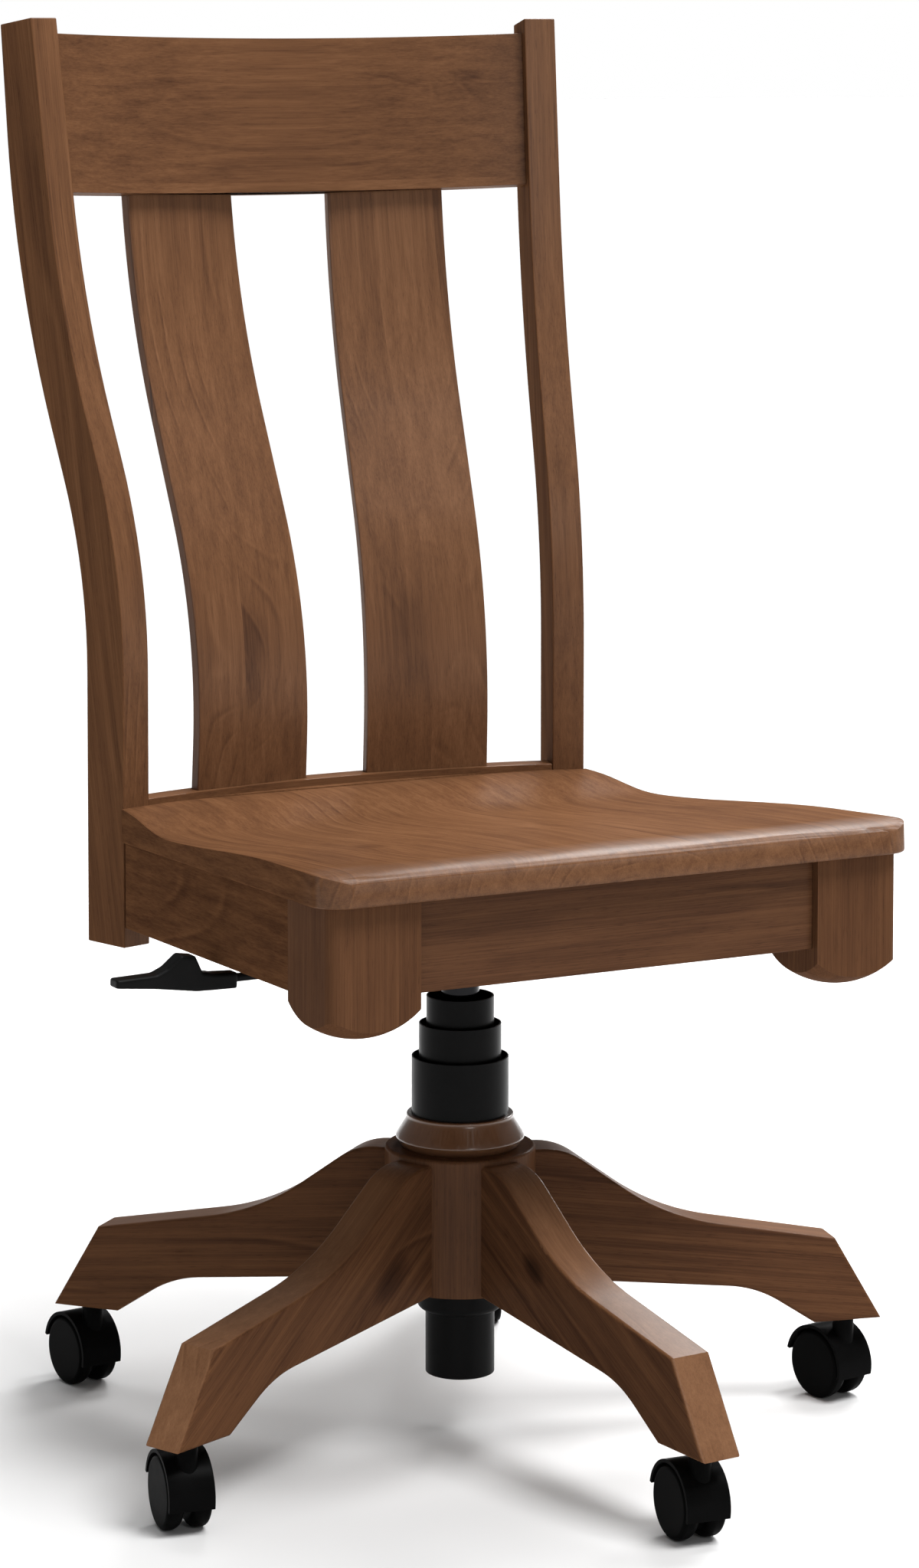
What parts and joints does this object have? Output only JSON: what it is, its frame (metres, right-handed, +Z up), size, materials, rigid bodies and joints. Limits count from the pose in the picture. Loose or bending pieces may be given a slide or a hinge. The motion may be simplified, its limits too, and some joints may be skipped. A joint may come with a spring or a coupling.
{
  "type": "desk chair",
  "caption": "Armless wooden desk chair with a scooped seat and slatted back, on a height-adjustable swivel base with arms and hooded casters.",
  "frame": {"origin": "on the floor, on the axis of the gas lift", "axes": "+Z up, the sitter faces -Y and the sitter's left is +X"},
  "size_m": [0.6132, 0.6363, 1.023],
  "materials": {
    "stained_wood": "medium brown stain under satin lacquer, open straight grain with darker knots",
    "collar_wood": "turned, dark brown stain under gloss lacquer",
    "inner_wood": "hidden frame wood, plain stain",
    "cover_plastic": "smooth black, slightly satin",
    "caster_plastic": "moulded black nylon, satin",
    "wheel_plastic": "moulded black nylon, satin",
    "lever_plastic": "moulded black, fine matte",
    "black_steel": "black powder coat",
    "chrome_steel": "polished",
    "zinc_steel": "zinc plated",
    "guide_plastic": "pale bearing plastic"
  },
  "bodies": {
    "base": {"hub": "stained_wood", "hub_sleeve": "black_steel", "collar_ring": "collar_wood", "arm_1": "stained_wood", "arm_2": "stained_wood", "arm_3": "stained_wood", "arm_4": "stained_wood", "arm_5": "stained_wood", "arm_bolts": "zinc_steel", "stem_sockets": "zinc_steel", "gas_outer_tube": "black_steel", "gas_guide_bush": "guide_plastic", "thrust_bearing": "zinc_steel", "lower_cover": "cover_plastic"},
    "piston": {"piston_rod": "chrome_steel", "retaining_clip": "zinc_steel"},
    "middle_cover": {"middle_cover": "cover_plastic"},
    "seat": {"inner_cylinder": "chrome_steel", "upper_cover": "cover_plastic", "taper_socket": "black_steel", "seat_plate": "black_steel", "plate_screws": "zinc_steel", "mechanism_channel": "black_steel", "seat": "stained_wood", "front_apron": "stained_wood", "left_side_apron": "stained_wood", "right_side_apron": "stained_wood", "rear_apron": "inner_wood", "left_front_post": "stained_wood", "right_front_post": "stained_wood", "corner_blocks": "inner_wood", "left_back_post": "stained_wood", "right_back_post": "stained_wood", "crest_rail": "stained_wood", "lower_back_rail": "stained_wood", "left_slat": "stained_wood", "right_slat": "stained_wood"},
    "lever": {"lever_rod": "black_steel", "lever_handle": "lever_plastic"},
    "release_button": {"release_button": "chrome_steel"},
    "caster_1": {"caster_1_hood": "caster_plastic", "caster_1_pins": "zinc_steel"},
    "caster_1_wheel_a": {"caster_1_wheel_a": "wheel_plastic"},
    "caster_1_wheel_b": {"caster_1_wheel_b": "wheel_plastic"},
    "caster_2": {"caster_2_hood": "caster_plastic", "caster_2_pins": "zinc_steel"},
    "caster_2_wheel_a": {"caster_2_wheel_a": "wheel_plastic"},
    "caster_2_wheel_b": {"caster_2_wheel_b": "wheel_plastic"},
    "caster_3": {"caster_3_hood": "caster_plastic", "caster_3_pins": "zinc_steel"},
    "caster_3_wheel_a": {"caster_3_wheel_a": "wheel_plastic"},
    "caster_3_wheel_b": {"caster_3_wheel_b": "wheel_plastic"},
    "caster_4": {"caster_4_hood": "caster_plastic", "caster_4_pins": "zinc_steel"},
    "caster_4_wheel_a": {"caster_4_wheel_a": "wheel_plastic"},
    "caster_4_wheel_b": {"caster_4_wheel_b": "wheel_plastic"},
    "caster_5": {"caster_5_hood": "caster_plastic", "caster_5_pins": "zinc_steel"},
    "caster_5_wheel_a": {"caster_5_wheel_a": "wheel_plastic"},
    "caster_5_wheel_b": {"caster_5_wheel_b": "wheel_plastic"}
  },
  "joints": [
    {"name": "seat_swivel", "type": "hinge", "parent": "base", "child": "piston", "pos_m": [0, 0, 0.05], "axis": [0, 0, 1], "continuous": true},
    {"name": "seat_lift", "type": "slide", "parent": "piston", "child": "seat", "axis": [0, 0, 1], "range_m": [-0.045, 0.055]},
    {"name": "middle_cover_slide", "type": "slide", "parent": "base", "child": "middle_cover", "axis": [0, 0, 1], "range_m": [-0.0225, 0.0275]},
    {"name": "lever_pull", "type": "hinge", "parent": "seat", "child": "lever", "pos_m": [-0.055, 0, 0.397], "axis": [0, 1, 0], "range_deg": [0, 2.1], "stiffness_Nm_per_rad": 6, "springref_deg": -1.72},
    {"name": "button_press", "type": "slide", "parent": "seat", "child": "release_button", "axis": [0, 0, 1], "range_m": [-0.0025, 0], "stiffness_N_per_m": 600},
    {"name": "caster_1_swivel", "type": "hinge", "parent": "base", "child": "caster_1", "pos_m": [0.2866, -0.06775, 0.07], "axis": [0, 0, 1], "continuous": true},
    {"name": "caster_1_spin_a", "type": "hinge", "parent": "caster_1", "child": "caster_1_wheel_a", "pos_m": [0.28413, -0.05296, 0.0254], "axis": [-0.9863, -0.165, 0], "continuous": true},
    {"name": "caster_1_spin_b", "type": "hinge", "parent": "caster_1", "child": "caster_1_wheel_b", "pos_m": [0.28413, -0.05296, 0.0254], "axis": [-0.9863, -0.165, 0], "continuous": true},
    {"name": "caster_2_swivel", "type": "hinge", "parent": "base", "child": "caster_2", "pos_m": [0.153, 0.25164, 0.07], "axis": [0, 0, 1], "continuous": true},
    {"name": "caster_2_spin_a", "type": "hinge", "parent": "caster_2", "child": "caster_2_wheel_a", "pos_m": [0.14666, 0.23804, 0.0254], "axis": [0.9063, -0.4226, 0], "continuous": true},
    {"name": "caster_2_spin_b", "type": "hinge", "parent": "caster_2", "child": "caster_2_wheel_b", "pos_m": [0.14666, 0.23804, 0.0254], "axis": [0.9063, -0.4226, 0], "continuous": true},
    {"name": "caster_3_swivel", "type": "hinge", "parent": "base", "child": "caster_3", "pos_m": [-0.19204, 0.22327, 0.07], "axis": [0, 0, 1], "continuous": true},
    {"name": "caster_3_spin_a", "type": "hinge", "parent": "caster_3", "child": "caster_3_wheel_a", "pos_m": [-0.19374, 0.23817, 0.0254], "axis": [-0.9936, -0.1132, 0], "continuous": true},
    {"name": "caster_3_spin_b", "type": "hinge", "parent": "caster_3", "child": "caster_3_wheel_b", "pos_m": [-0.19374, 0.23817, 0.0254], "axis": [-0.9936, -0.1132, 0], "continuous": true},
    {"name": "caster_4_swivel", "type": "hinge", "parent": "base", "child": "caster_4", "pos_m": [-0.27169, -0.11365, 0.07], "axis": [0, 0, 1], "continuous": true},
    {"name": "caster_4_spin_a", "type": "hinge", "parent": "caster_4", "child": "caster_4_wheel_a", "pos_m": [-0.2696, -0.0988, 0.0254], "axis": [-0.9903, 0.1392, 0], "continuous": true},
    {"name": "caster_4_spin_b", "type": "hinge", "parent": "caster_4", "child": "caster_4_wheel_b", "pos_m": [-0.2696, -0.0988, 0.0254], "axis": [-0.9903, 0.1392, 0], "continuous": true},
    {"name": "caster_5_swivel", "type": "hinge", "parent": "base", "child": "caster_5", "pos_m": [0.02413, -0.29351, 0.07], "axis": [0, 0, 1], "continuous": true},
    {"name": "caster_5_spin_a", "type": "hinge", "parent": "caster_5", "child": "caster_5_wheel_a", "pos_m": [0.02531, -0.27856, 0.0254], "axis": [-0.9969, 0.0785, 0], "continuous": true},
    {"name": "caster_5_spin_b", "type": "hinge", "parent": "caster_5", "child": "caster_5_wheel_b", "pos_m": [0.02531, -0.27856, 0.0254], "axis": [-0.9969, 0.0785, 0], "continuous": true}
  ],
  "couplings": [
    {"joint": "middle_cover_slide", "follows": "seat_lift", "ratio": 0.5},
    {"joint": "button_press", "follows": "lever_pull", "m_per_rad": -0.055}
  ]
}
